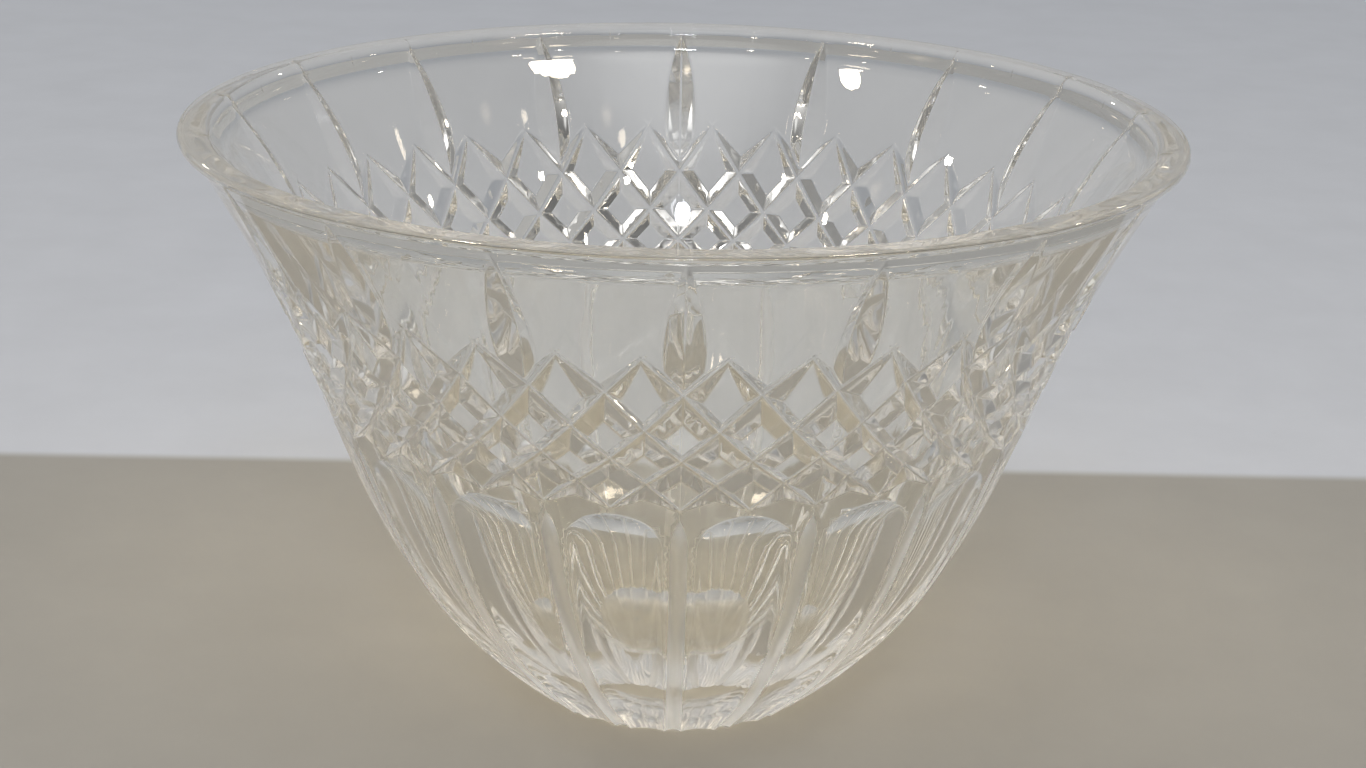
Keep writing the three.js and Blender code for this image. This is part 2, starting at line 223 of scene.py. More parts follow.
class CutWall:
    """The outer wall with its cuts, drawn flat and wrapped round the bowl."""

    def __init__(self, form, cuts):
        self.form, self.cuts = form, cuts
        self.across = 2 * math.pi / (cuts.repeats * REPEAT_WIDTH)
        self.spread = math.tan(cuts.mitre_angle / 2)
        self.lancet_spread = math.tan(cuts.lancet_angle / 2)
        self.diamond_half = (1 - cuts.diamond_flat) * DIAGONAL
        self.diamond_bottom = cuts.diamond_top - self.row_drop(HALF_ROWS)
        self.arch_foot = self.diamond_bottom - cuts.flute_below - cuts.flute_arch
        self.pencil_tip = self.diamond_bottom - cuts.pencil_below
        self.flute_half = cuts.flute_width * REPEAT_WIDTH / 2
        self.lancet_half = cuts.lancet_width * REPEAT_WIDTH / 2
        self.end = (form.rim_radius - form.lip_radius - form.lip_stands_out,
                    form.height - form.lip_radius * (1 + math.sin(LIP_UNDERSIDE)))
        self.curve, self.slope = bezier(
            [(form.foot_radius, 0),
             (BELLY[0] * form.rim_radius, BELLY[1] * form.height),
             (WAIST[0] * form.rim_radius, WAIST[1] * form.height),
             self.end], CURVE_STEPS)
        self.top = self.on_flat(self.end[1])
        self.lancet_tip = self.on_flat(self.end[1] - cuts.lancet_below_lip)

    def row_drop(self, rows):
        """How far a place in the diamonds is below their top, by the rows above it."""
        shrink = self.cuts.row_shrink
        return self.cuts.half_row * (1 - shrink**rows) / (1 - shrink)

    def on_flat(self, height):
        """The flat's measure of a height above or below the diamonds."""
        above = (height - self.cuts.diamond_top) / self.cuts.half_row
        below = (height - self.diamond_bottom) / self.cuts.half_row - HALF_ROWS
        return np.where(height > self.diamond_bottom, above, below)

    def height_of(self, up):
        among = self.cuts.diamond_top - self.row_drop(np.clip(-up, 0, HALF_ROWS))
        return among + (np.maximum(up, 0) + np.minimum(up + HALF_ROWS, 0)) * self.cuts.half_row

    def at(self, height):
        """Radius and direction of the uncut wall. Below the foot it runs straight on."""
        heights = self.curve[:, 1]
        slope = [np.interp(height, heights, self.slope[:, k]) for k in (0, 1)]
        radius = np.interp(height, heights, self.curve[:, 0])
        return radius + np.minimum(height, 0) * slope[0] / slope[1], slope

    def lancet_half_at(self, up):
        """Half the width of a lancet, which is negative beyond its ends."""
        down = (self.lancet_tip - up) / (self.lancet_tip + 1)
        widest = self.cuts.lancet_widest
        near_tip = down < widest
        reach = np.where(near_tip, widest, 1 - widest)
        bend = np.where(near_tip, LANCET_TIP_BEND, LANCET_FOOT_BEND)
        return self.lancet_half * (1 - (np.abs(down - widest) / reach) ** bend)

    def slant_half_at(self, row):
        """Half the width of a slanting cut, by the half rows that it has run past."""
        run_out = self.cuts.run_out
        into = np.minimum(np.minimum(row, HALF_ROWS - row), 1)
        return self.diamond_half * (into + run_out) / (1 + run_out)

    def pencil_at(self, height):
        """Half width, depth and sunk share of a pencil cut."""
        measure = self.at(height)[0] * self.across
        into = np.clip((self.pencil_tip - height) / self.cuts.pencil_point, 0, 1)
        sunk = np.sin(into * math.pi / 2) ** 2
        return self.cuts.pencil_width / 2 / measure, self.cuts.pencil_depth / measure, sunk

    def depth(self, across, up):
        """How deep the wheels have cut, their edges rounded by the polish."""
        across = np.abs((across + REPEAT_WIDTH / 2) % REPEAT_WIDTH - REPEAT_WIDTH / 2)
        height = self.height_of(up)
        lancet = self.lancet_half_at(up) - np.hypot(across, self.cuts.lancet_rounding)
        cut = [lancet / self.lancet_spread]
        for start in range(-HALF_ROWS, REPEAT_WIDTH // 2 + HALF_ROWS + 1, 2):
            for turn in (1, -1):
                row = (turn * (across - start) - up) / 2
                beside = (turn * (across - start) + up) * DIAGONAL
                half = self.slant_half_at(row) - np.hypot(beside, self.cuts.mitre_rounding)
                cut.append(half / self.spread)
        into_arch = np.maximum((height - self.arch_foot) / self.cuts.flute_arch, 0)
        side = (REPEAT_WIDTH / 2 - across) / self.flute_half
        cut.append(self.cuts.flute_depth * self.flute_half * (1 - into_arch**2 - side**2))
        half, deep, sunk = self.pencil_at(height)
        cut.append(deep * (sunk - (across / half) ** 2))
        deepest = np.zeros_like(up)
        for one in cut:
            deepest = rounded_max(deepest, one, self.cuts.edge_rounding)
        return np.where(up < self.top, deepest, 0)

    def wrapped(self, across, up):
        """Places on the cut wall, as points with the front at across 0."""
        height = self.height_of(up)
        radius, slope = self.at(height)
        sunk = self.depth(across, up) * radius * self.across
        out = radius - slope[1] * sunk
        angle = across * self.across
        return np.stack([out * np.sin(angle), -out * np.cos(angle), height + slope[0] * sunk], -1)

    def facing(self, across, up):
        """Directions that the cut wall faces."""
        up = np.minimum(up, self.top - 2 * NORMAL_STEP)
        around = self.wrapped(across + NORMAL_STEP, up) - self.wrapped(across - NORMAL_STEP, up)
        upward = self.wrapped(across, up + NORMAL_STEP) - self.wrapped(across, up - NORMAL_STEP)
        normal = np.cross(around, upward)
        return normal / np.linalg.norm(normal, axis=1)[:, None]

    def bottom_at(self, across):
        """Where on the flat the cut wall comes down to the worn edge of the foot."""
        low = np.full_like(across, self.on_flat(-BELOW_FOOT))
        high = np.full_like(across, self.on_flat(ABOVE_FOOT))
        for _ in range(HALVINGS):
            middle = (low + high) / 2
            is_low = self.wrapped(across, middle)[:, 2] < self.form.foot_rounding
            low, high = np.where(is_low, middle, low), np.where(is_low, high, middle)
        return low


def diamond_creases(wall):
    """The lines of the diamonds in half a repeat: bottoms of the cuts, then ridges and edges of the flats."""
    run_out = wall.cuts.run_out
    reach = wall.diamond_half * DIAGONAL

    def edge(a, b, inward):
        return [corner + wall.slant_half_at(-corner[1]) * inward for corner in (a, b)]

    bottoms, lines = [], []
    for row in range(1, HALF_ROWS):
        for middle in ((1,) if row % 2 else (0, 2)):
            corners = [np.array(p, float) for p in
                       [(middle, 1 - row), (middle + 1, -row), (middle, -1 - row), (middle - 1, -row)]]
            inward = [np.array(p) * DIAGONAL for p in [(-1, -1), (-1, 1), (1, 1), (1, -1)]]
            sides = [edge(corners[k], corners[(k + 1) % 4], inward[k]) for k in range(4)]
            flat = [meet(*sides[k - 1], *sides[k]) for k in range(4)]
            for k in range(4):
                lines.append([flat[k], flat[(k + 1) % 4]])
                lines.append([corners[k], flat[k]])
                bottoms.append([corners[k], corners[(k + 1) % 4]])
    upright = np.array([0.0, 1.0])
    for start, end, outward, border in [
            ((1, 0), (0, -1), (-1, 1), 0),
            ((1, 0), (2, -1), (1, 1), 2),
            ((0, -HALF_ROWS), (1, 1 - HALF_ROWS), (1, -1), 1),
            ((2, -HALF_ROWS), (1, 1 - HALF_ROWS), (-1, -1), 1)]:
        start, end, outward = [np.array(p, float) for p in (start, end, outward)]
        tip = start + run_out * (start - end)
        on_border = np.array([border, 0.0])
        reached = meet(tip, end + reach * outward, on_border, on_border + upright)
        inner = meet(tip, end - reach * outward, start, start + upright)
        lines += [[tip, reached], [tip, inner], [end, reached]]
        bottoms.append([start, tip])
        if start[0] != 1:
            flipped = [[np.array([2 * start[0] - p[0], p[1]]) for p in line] for line in
                       ([tip, reached], [tip, inner], [start, tip])]
            lines += flipped[:2]
            bottoms.append(flipped[2])
    lines = [line for line in lines if np.linalg.norm(line[1] - line[0]) > SAME_PLACE]
    return [np.array(line) for line in bottoms], [np.array(line) for line in lines]


def lancet_creases(wall):
    """The edge of a lancet, and where its foot meets the cut beside it."""
    full = wall.diamond_half
    up = np.linspace(-1, wall.lancet_tip, LANCET_STEPS)
    half = wall.lancet_half_at(up)
    deeper = wall.spread / wall.lancet_spread
    run_out = wall.cuts.run_out
    slant_half = full * ((1 - up) / 2 + run_out) / (1 + run_out)
    narrowing = full / 2 / (1 + run_out)
    crease = (deeper * half - slant_half + DIAGONAL * (1 + up)) / (deeper + DIAGONAL - narrowing)
    among = (crease > 0) & (crease < half)
    foot_line = np.stack([crease, up], -1)[among][::LANCET_FOOT_EVERY]
    above = up > up[among].max()
    side = np.stack([half, up], -1)[above]
    edge = np.vstack([foot_line[-1:], side[::LANCET_EDGE_EVERY], side[-1:]])
    return [foot_line, edge]


def flute_creases(wall):
    """The edges of a flute and of a pencil cut."""
    turn = np.linspace(0, math.pi / 2, ARCH_STEPS)
    middle = REPEAT_WIDTH / 2
    arch = np.stack([middle - wall.flute_half * np.cos(turn),
                     wall.on_flat(wall.arch_foot + wall.cuts.flute_arch * np.sin(turn))], -1)
    below = np.array([[middle - wall.flute_half, wall.on_flat(-BELOW_FOOT)]])
    shoulder = wall.pencil_tip - wall.cuts.pencil_point
    height = np.concatenate([np.linspace(-BELOW_FOOT, shoulder, PENCIL_STEPS),
                             np.linspace(shoulder, wall.pencil_tip, PENCIL_POINT_STEPS)[1:]])
    half, _, sunk = wall.pencil_at(height)
    pencil = np.stack([half * np.sqrt(sunk), wall.on_flat(height)], -1)
    return [np.vstack([below, arch]), pencil]


def beside(line, distance):
    """A line's neighbour at a distance to its left."""
    along = np.gradient(line, axis=0)
    along /= np.linalg.norm(along, axis=1)[:, None]
    return line + distance * np.stack([-along[:, 1], along[:, 0]], -1)


def stepped(line, step):
    """A line with corners no further apart than a step."""
    points = [line[0]]
    for a, b in zip(line[:-1], line[1:]):
        parts = max(1, math.ceil(np.linalg.norm(b - a) / step))
        points += [a + (b - a) * k / parts for k in range(1, parts + 1)]
    return np.array(points)


def flat_points(wall):
    """Points between the creases, closer together where the flutes bend the wall."""
    points = []
    for up in np.arange(wall.on_flat(FIRST_ROW), wall.top, ROW_STEP):
        step = FLUTE_STEP if up < -HALF_ROWS else WALL_STEP
        points += [(across, up) for across in np.arange(step, REPEAT_WIDTH / 2 - step / 2, step)]
    return points


def flat_mesh(wall):
    """Corners and triangles of half a repeat of the cut wall on the flat."""
    half = REPEAT_WIDTH / 2
    columns = np.linspace(0, half, EDGE_COLUMNS + 1)
    fine = np.linspace(0, half, FOOT_COLUMNS + 1)
    bottom = np.stack([fine, wall.bottom_at(fine)], -1)
    top = np.stack([columns, np.full_like(columns, wall.top)], -1)
    left = stepped(np.array([bottom[0], top[0]]), CREASE_STEP)
    right = stepped(np.array([bottom[-1], top[-1]]), CREASE_STEP)
    lines = [bottom, top, left, right]
    bottoms, edges = diamond_creases(wall)
    for line in bottoms:
        line = stepped(line, CREASE_STEP)
        lines += [beside(line, VALLEY_SIDE), beside(line, -VALLEY_SIDE)]
    for line in bottoms + edges + lancet_creases(wall) + flute_creases(wall):
        line = stepped(line, CREASE_STEP)
        lines += [line, beside(line, CREASE_SIDE), beside(line, -CREASE_SIDE)]
    for x in (CREASE_SIDE, half - CREASE_SIDE):
        upright = np.array([(x, bottom[0, 1]), (x, wall.top - CREASE_SIDE)])
        lines.append(stepped(upright, CREASE_STEP))
    places, edges = [], []
    for line in lines:
        for a, b in zip(line[:-1], line[1:]):
            if max(a[0], b[0]) < -OUTSIDE or min(a[0], b[0]) > half + OUTSIDE:
                continue
            ends = clipped(a, b, half)
            edges.append((len(places), len(places) + 1))
            places += [Vector(p) for p in ends]
    places += [Vector(p) for p in flat_points(wall)]
    corners, _, faces, *_ = delaunay_2d_cdt(places, edges, [], 1, MERGE_WITHIN)
    corners = np.array([tuple(p) for p in corners])
    for border in (0, half):
        corners[np.abs(corners[:, 0] - border) < SNAP_WITHIN, 0] = border
    on_top = np.abs(corners[:, 1] - wall.top) < SNAP_WITHIN
    corners[on_top, 1] = wall.top
    corners[on_top, 0] = np.round(corners[on_top, 0] * EDGE_COLUMNS / half) * half / EDGE_COLUMNS
    return corners, [tuple(f) for f in faces]


def clipped(a, b, half):
    """A short piece of line cut off at the sides of the half repeat."""
    ends = []
    for here, other in ((a, b), (b, a)):
        x = min(max(here[0], 0.0), half)
        if x != here[0]:
            here = here + (other - here) * (x - here[0]) / (other[0] - here[0])
        ends.append((x, here[1]))
    return ends


def lip_and_hollow(wall):
    """Outline and facing of the lip, the rim and the smooth inside, from the lip to the axis."""
    form = wall.form
    bead = np.array([form.rim_radius - form.lip_radius, form.height - form.lip_radius])
    turn = np.linspace(-LIP_UNDERSIDE, math.pi / 2, BEAD_STEPS + 1)
    round_out = np.stack([np.cos(turn), np.sin(turn)], -1)
    inside = form.rim_radius - form.rim_thickness
    inner = np.array([inside + form.rim_rounding, form.height - form.rim_rounding])
    turn_in = np.linspace(math.pi / 2, math.pi, ROUNDING_STEPS + 1)
    round_in = np.stack([np.cos(turn_in), np.sin(turn_in)], -1)
    hollow, along = bezier(
        [(inside, form.height - form.rim_rounding),
         (HOLLOW_WAIST[0] * form.rim_radius, HOLLOW_WAIST[1] * form.height),
         (HOLLOW_BELLY_REACH * form.rim_radius, form.floor_thickness),
         (0, form.floor_thickness)], HOLLOW_STEPS + 1)
    arc = bead + form.lip_radius * round_out
    under = np.array([wall.end, np.array(wall.end) + SHELF_SHARE * (arc[0] - wall.end)])
    points = np.vstack([under, arc, inner + form.rim_rounding * round_in, hollow[1:]])
    into_hollow = np.stack([along[1:, 1], -along[1:, 0]], -1)
    facing = np.vstack([[(0, -1), (0, -1)], round_out, round_in, into_hollow])
    return points, facing


def round_axis(outline, angles):
    """Points of an outline turned to each angle from the front, row by row."""
    radius, height = outline[:, 0, None], outline[:, 1, None]
    height = np.broadcast_to(height, (len(outline), len(angles)))
    return np.stack([radius * np.sin(angles), -radius * np.cos(angles), height], -1).reshape(-1, 3)


def finish_at(wall, place):
    """Finish of the cut wall at a place on the flat."""
    half, _, sunk = wall.pencil_at(wall.height_of(place[1]))
    return PENCIL if place[0] < half * math.sqrt(sunk) else CUT


def wedge(wall):
    """Half a repeat of the whole bowl: places, facing, faces and their finish."""
    corners, triangles = flat_mesh(wall)
    across, up = corners.T
    places, facing = [wall.wrapped(across, up)], [wall.facing(across, up)]
    faces = [(finish_at(wall, corners[list(triangle)].mean(axis=0)), triangle) for triangle in triangles]
    foot_places, foot_faces = foot(wall, corners, triangles, places[0])
    places.append(foot_places)
    facing.append(np.tile([0.0, 0.0, -1.0], (len(foot_places), 1)))
    faces += [(FOOT, face) for face in foot_faces]
    start = len(places[0]) + len(foot_places)
    outline, turned = lip_and_hollow(wall)
    angles = np.linspace(0, REPEAT_WIDTH / 2, EDGE_COLUMNS + 1) * wall.across
    places.append(round_axis(outline, angles))
    facing.append(round_axis(turned, angles))
    for row in range(len(outline) - 1):
        finish = SMOOTH if row >= len(outline) - 1 - HOLLOW_STEPS else RIM
        for column in range(EDGE_COLUMNS):
            here = start + row * (EDGE_COLUMNS + 1) + column
            above = here + EDGE_COLUMNS + 1
            faces.append((finish, (here, here + 1, above + 1, above)))
    return np.vstack(places), np.vstack(facing), faces


def foot(wall, corners, triangles, places):
    """The flat foot under half a repeat, joined to the cut wall by its worn edge."""
    used = {}
    for triangle in triangles:
        for a, b in zip(triangle, triangle[1:] + triangle[:1]):
            used[a, b] = True
    half = REPEAT_WIDTH / 2

    def on_side(a, b):
        same = corners[a, 0] == corners[b, 0]
        return (same and corners[a, 0] in (0, half)) or corners[a, 1] == corners[b, 1] == wall.top

    lowest = [(a, b) for a, b in used if (b, a) not in used and not on_side(a, b)]
    under = {}
    made = [np.zeros(3)]
    for corner in sorted({corner for edge in lowest for corner in edge}):
        place = places[corner] * (1 - wall.form.foot_rounding / np.hypot(*places[corner, :2]))
        under[corner] = len(places) + len(made)
        made.append(np.array([place[0], place[1], 0.0]))
    middle = len(places)
    faces = []
    for a, b in lowest:
        faces.append((b, a, under[a], under[b]))
        faces.append((under[b], under[a], middle))
    return np.array(made), faces


def whole_bowl(wall):
    """The wedge, mirrored and repeated round the bowl, with one corner for all that touch."""
    places, facing, faces = wedge(wall)
    all_places, all_facing, all_faces = [], [], []
    for half in range(2 * wall.cuts.repeats):
        mirrored = half % 2 == 1
        turn = (half + 1) // 2 * REPEAT_WIDTH * wall.across
        cosine, sine = math.cos(turn), math.sin(turn)
        matrix = np.array([[cosine, -sine, 0], [sine, cosine, 0], [0, 0, 1]])
        if mirrored:
            matrix = matrix @ np.diag([-1.0, 1.0, 1.0])
        start = half * len(places)
        all_places.append(places @ matrix.T)
        all_facing.append(facing @ matrix.T)
        for finish, face in faces:
            all_faces.append((finish, [start + k for k in (reversed(face) if mirrored else face)]))
    stacked = np.vstack(all_places)
    keys = np.round(stacked / SAME_PLACE).astype(np.int64)
    _, first, merged = np.unique(keys, axis=0, return_index=True, return_inverse=True)
    merged = merged.reshape(-1)
    normals = np.zeros((len(first), 3))
    np.add.at(normals, merged, np.vstack(all_facing))
    normals /= np.linalg.norm(normals, axis=1)[:, None]
    kept = []
    for finish, face in all_faces:
        around = list(dict.fromkeys(int(merged[k]) for k in face))
        if len(around) > 2:
            kept.append((finish, around))
    used = sorted({corner for _, face in kept for corner in face})
    place_of = {corner: place for place, corner in enumerate(used)}
    kept = [(finish, [place_of[corner] for corner in face]) for finish, face in kept]
    return stacked[first][used], normals[used], kept


def add_node(tree, kind, values=None, links=None, **settings):
    """Adds a node with its settings, the values of its sockets and its links."""
    made = tree.nodes.new(kind)
    for name, value in settings.items():
        setattr(made, name, value)
    for socket, value in (values or {}).items():
        made.inputs[socket].default_value = value
    for socket, source in (links or {}).items():
        tree.links.new(source, made.inputs[socket])
    return made


def new_material(name):
    material = bpy.data.materials.new(name)
    material.use_nodes = True
    material.node_tree.nodes.clear()
    return material, material.node_tree


CRYSTAL_IOR = 1.545  # of glass with about a quarter lead oxide
SHADE_THROUGH = "EFECE4"  # what one face of the glass leaves of a lamp's light behind it
PATCH_MM = 9  # width of the patches of wear
WORN_FROM, WORN_TO = 0.25, 0.65  # levels of the noise between which wear grows to its full
WALL_RADIUS = 0.1  # where a wave has its given width, in metres. It narrows with the wall towards the foot
INSIDE_WORN_UP_TO = 0.1  # height in metres


def crystal(name, tint, roughness, wear, wave_mm, wave_high_mm, wave_long=1.0, worn_up_to=None):
    """Clear lead crystal. Slow waves in its surface bend what shows through it, and use has made it rougher
    in patches, only below a height where one is given. Lamps reach through it with a faint tint, so that
    the table and the far wall are lit behind the glass and the bowl's shadow is pale."""
    material, tree = new_material(name)
    place = add_node(tree, "ShaderNodeTexCoord")
    split = add_node(tree, "ShaderNodeSeparateXYZ", None, {"Vector": place.outputs["Object"]})
    aside = add_node(tree, "ShaderNodeCombineXYZ", None, {"X": split.outputs["X"], "Y": split.outputs["Y"]})
    way = add_node(tree, "ShaderNodeVectorMath", None, {0: aside.outputs["Vector"]}, operation="NORMALIZE")
    upright = add_node(tree, "ShaderNodeCombineXYZ", None, {"Z": split.outputs["Z"]})
    round_wall = add_node(tree, "ShaderNodeVectorMath", {1: (WALL_RADIUS, WALL_RADIUS, 0)},
                          {0: way.outputs["Vector"], 2: upright.outputs["Vector"]}, operation="MULTIPLY_ADD")
    drawn_out = add_node(tree, "ShaderNodeMapping", {"Scale": (1, 1, 1 / wave_long)},
                         {"Vector": round_wall.outputs["Vector"]})
    wave = add_node(tree, "ShaderNodeTexNoise", {"Scale": 1000 / wave_mm, "Detail": 2.0, "Roughness": 0.4},
                    {"Vector": drawn_out.outputs["Vector"]})
    bump = add_node(tree, "ShaderNodeBump", {"Strength": 1.0, "Distance": wave_high_mm / 1000},
                    {"Height": wave.outputs["Fac"]})
    patches = add_node(tree, "ShaderNodeTexNoise", {"Scale": 1000 / PATCH_MM, "Detail": 6.0},
                       {"Vector": place.outputs["Object"]})
    worn = add_node(tree, "ShaderNodeMapRange", {"From Min": WORN_FROM, "From Max": WORN_TO},
                    {"Value": patches.outputs["Fac"]})
    if worn_up_to:
        low = add_node(tree, "ShaderNodeMapRange", {"From Min": worn_up_to, "From Max": worn_up_to / 2},
                       {"Value": split.outputs["Z"]})
        worn = add_node(tree, "ShaderNodeMath", None,
                        {0: worn.outputs["Result"], 1: low.outputs["Result"]}, operation="MULTIPLY")
    rough = add_node(tree, "ShaderNodeMapRange", {"To Min": roughness, "To Max": roughness + wear},
                     {"Value": worn.outputs[0]})
    glass = add_node(tree, "ShaderNodeBsdfPrincipled",
                     {"Base Color": tint, "IOR": CRYSTAL_IOR, "Transmission Weight": 1.0},
                     {"Roughness": rough.outputs["Result"], "Normal": bump.outputs["Normal"]})
    clear = add_node(tree, "ShaderNodeBsdfTransparent", {"Color": linear(SHADE_THROUGH)})
    ray = add_node(tree, "ShaderNodeLightPath")
    mixed = add_node(tree, "ShaderNodeMixShader", None,
                     {0: ray.outputs["Is Shadow Ray"],
                      1: glass.outputs["BSDF"],
                      2: clear.outputs["BSDF"]})
    add_node(tree, "ShaderNodeOutputMaterial", None, {"Surface": mixed.outputs["Shader"]})
    return material


def crystal_finishes(glass):
    """The five finishes of the bowl, in the order of their numbers."""
    return [
        # Cut by a wheel and then polished: clear, flat faces with a hard sparkle
        crystal("lead_crystal_wheel_cut", glass.tint, glass.polish,
                wear=0.02, wave_mm=5, wave_high_mm=0.01),
        # Left satin from the wheel: pale stripes that blur what is behind, with fine scratches along them
        crystal("lead_crystal_satin_pencil", glass.tint, glass.satin,
                wear=0.05, wave_mm=0.5, wave_high_mm=0.01, wave_long=12),
        # Smoothed by the fire and never cut: slow waves that run down the wall and make streaks of what is
        # behind, duller near the floor, where spoons and fruit have rubbed
        crystal("lead_crystal_fire_polished", glass.tint, glass.inside_polish,
                wear=glass.inside_wear, wave_mm=6, wave_high_mm=0.07, wave_long=6,
                worn_up_to=INSIDE_WORN_UP_TO),
        # Ground flat and polished: clear, with the faint dullness of a face that slides on tables
        crystal("lead_crystal_ground_foot", glass.tint, glass.foot_wear,
                wear=0.06, wave_mm=1.5, wave_high_mm=0.004),
        # Rounded by the flame: the smoothest face of all, with long clean lines of light
        crystal("lead_crystal_flame_polished_rim", glass.tint, glass.inside_polish,
                wear=0.01, wave_mm=15, wave_high_mm=0.01),
    ]


TABLE_GRAIN_MM = 40
TABLE_EDGE_SOFT = 0.004  # metres on either side of where the table turns cooler
MOTTLE = {"From Min": 0.3, "From Max": 0.7, "To Min": 0.97, "To Max": 1.02}


def table_top(stage):
    """Limewashed wood: a matt pale table, mottled a little, that turns cooler behind the bowl."""
    material, tree = new_material("pale_limewashed_table")
    place = add_node(tree, "ShaderNodeTexCoord")
    split = add_node(tree, "ShaderNodeSeparateXYZ", None, {"Vector": place.outputs["Object"]})
    back = add_node(tree, "ShaderNodeMapRange",
                    {"From Min": stage.table_depth - TABLE_EDGE_SOFT,
                     "From Max": stage.table_depth + TABLE_EDGE_SOFT},
                    {"Value": split.outputs["Y"]}, interpolation_type="SMOOTHSTEP")
    grain = add_node(tree, "ShaderNodeTexNoise",
                     {"Scale": 1000 / TABLE_GRAIN_MM, "Detail": 6.0, "Roughness": 0.6},
                     {"Vector": place.outputs["Object"]})
    shade = add_node(tree, "ShaderNodeMapRange", MOTTLE, {"Value": grain.outputs["Fac"]})
    tone = add_node(tree, "ShaderNodeMix", {"A": stage.table, "B": stage.behind},
                    {"Factor": back.outputs["Result"]}, data_type="RGBA")
    mottled = add_node(tree, "ShaderNodeVectorMath", None,
                       {0: tone.outputs["Result"], 1: shade.outputs["Result"]}, operation="MULTIPLY")
    surface = add_node(tree, "ShaderNodeBsdfPrincipled", {"Roughness": 0.9, "Specular IOR Level": 0.2},
                       {"Base Color": mottled.outputs["Vector"]})
    add_node(tree, "ShaderNodeOutputMaterial", None, {"Surface": surface.outputs["BSDF"]})
    return material


class CRYSTALBOWL_OT_cut_bowl(bpy.types.Operator):
    """Make the bowl with all its cuts, in place of its CAD solid"""
    bl_idname = "crystalbowl.cut_bowl"
    bl_label = "Cut bowl"

    def execute(self, context):
        scene = context.scene
        places, normals, faces = whole_bowl(CutWall(scene.crystal_bowl_form, scene.crystal_bowl_cuts))
        mesh = bpy.data.meshes.new("cut_crystal_bowl")
        mesh.from_pydata(places.tolist(), [], [face for _, face in faces], shade_flat=False)
        mesh.polygons.foreach_set("material_index", [finish for finish, _ in faces])
        for finish in crystal_finishes(scene.crystal_bowl_glass):
            mesh.materials.append(finish)
        if mesh.validate():
            raise RuntimeError("the bowl's mesh has faults")
        mesh.normals_split_custom_set_from_vertices(normals.tolist())
        bowl = bpy.data.objects.new("cut_crystal_bowl", mesh)
        scene.collection.objects.link(bowl)
        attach(bowl, "root")
        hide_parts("bowl")
        return {"FINISHED"}


# The camera: where it stands in metres, how it is turned, and its lens in millimetres on a 36 mm wide frame
CAMERA_BACK = 0.6611
CAMERA_UP = 0.3043
CAMERA_PITCH = 0.32560
CAMERA_YAW = 0.001765
CAMERA_ROLL = 0.022666
CAMERA_ROUND = -0.011
CAMERA_LENS = 71.225


def set_camera(scene):
    """A camera at the photo's angle."""
    forward = Vector((math.sin(CAMERA_YAW) * math.cos(CAMERA_PITCH),
                      math.cos(CAMERA_YAW) * math.cos(CAMERA_PITCH), -math.sin(CAMERA_PITCH)))
    right = Vector((math.cos(CAMERA_YAW), -math.sin(CAMERA_YAW), 0))
    up = right.cross(forward)
    tilted = math.cos(CAMERA_ROLL) * right + math.sin(CAMERA_ROLL) * up
    raised = math.cos(CAMERA_ROLL) * up - math.sin(CAMERA_ROLL) * right
    turned = Matrix((tilted, raised, -forward)).transposed().to_4x4()
    place = Matrix.Translation((0, -CAMERA_BACK, CAMERA_UP))
    camera = bpy.data.objects.new("camera", bpy.data.cameras.new("camera"))
    camera.data.lens = CAMERA_LENS
    camera.matrix_world = Matrix.Rotation(CAMERA_ROUND, 4, "Z") @ place @ turned
    scene.collection.objects.link(camera)
    scene.camera = camera


LAMPS_AIM = (0, 0, 0.08)
# The main lamps: where they stand, their width and height in metres, and their watts
WARM_RIGHT = ((0.545, -0.39, 1.25), (0.22, 0.14), 3.0)
WARM_LEFT = ((-0.70, -0.295, 1.25), (0.11, 0.16), 2.5)
OVER_CAMERA = ((-0.01, -0.75, 0.60), (0.09, 0.06), 1.1)
LAMP_RING = 1.2  # how far the small lamps stand from the bowl's axis, in metres
LAMP_SIZE = 0.045  # of a small lamp, in metres
LAMP_WATTS = 0.32  # of a small lamp
# Where the small lamps stand, in degrees round from the camera and up from the point they aim at
SMALL_LAMPS = [
    (-55, 30), (-38, 38), (-20, 27), (20, 38), (36, 28),
    (52, 36), (95, 25), (145, 33), (210, 25), (262, 33),
]


def set_lamp(scene, name, place, size, watts, light):
    """A flat oval lamp that faces the bowl."""
    data = bpy.data.lights.new(name, "AREA")
    data.shape = "ELLIPSE"
    data.size, data.size_y = size
    data.energy = watts
    data.color = light[:3]
    lamp = bpy.data.objects.new(name, data)
    lamp.location = place
    lamp.rotation_euler = (Vector(LAMPS_AIM) - Vector(place)).to_track_quat("-Z", "Y").to_euler()
    scene.collection.objects.link(lamp)


def set_lamps(scene, stage):
    """Two warm lamps above the bowl, a cool one over the camera, and small ones round it for its sparkle."""
    set_lamp(scene, "warm_right", *WARM_RIGHT, stage.warm)
    set_lamp(scene, "warm_left", *WARM_LEFT, stage.warm)
    set_lamp(scene, "over_camera", *OVER_CAMERA, stage.cool)
    for turn, rise in SMALL_LAMPS:
        angle = math.radians(turn)
        height = LAMPS_AIM[2] + LAMP_RING * math.tan(math.radians(rise))
        place = (LAMP_RING * math.sin(angle), -LAMP_RING * math.cos(angle), height)
        set_lamp(scene, f"small_{turn}", place, (LAMP_SIZE, LAMP_SIZE), LAMP_WATTS, stage.warm)


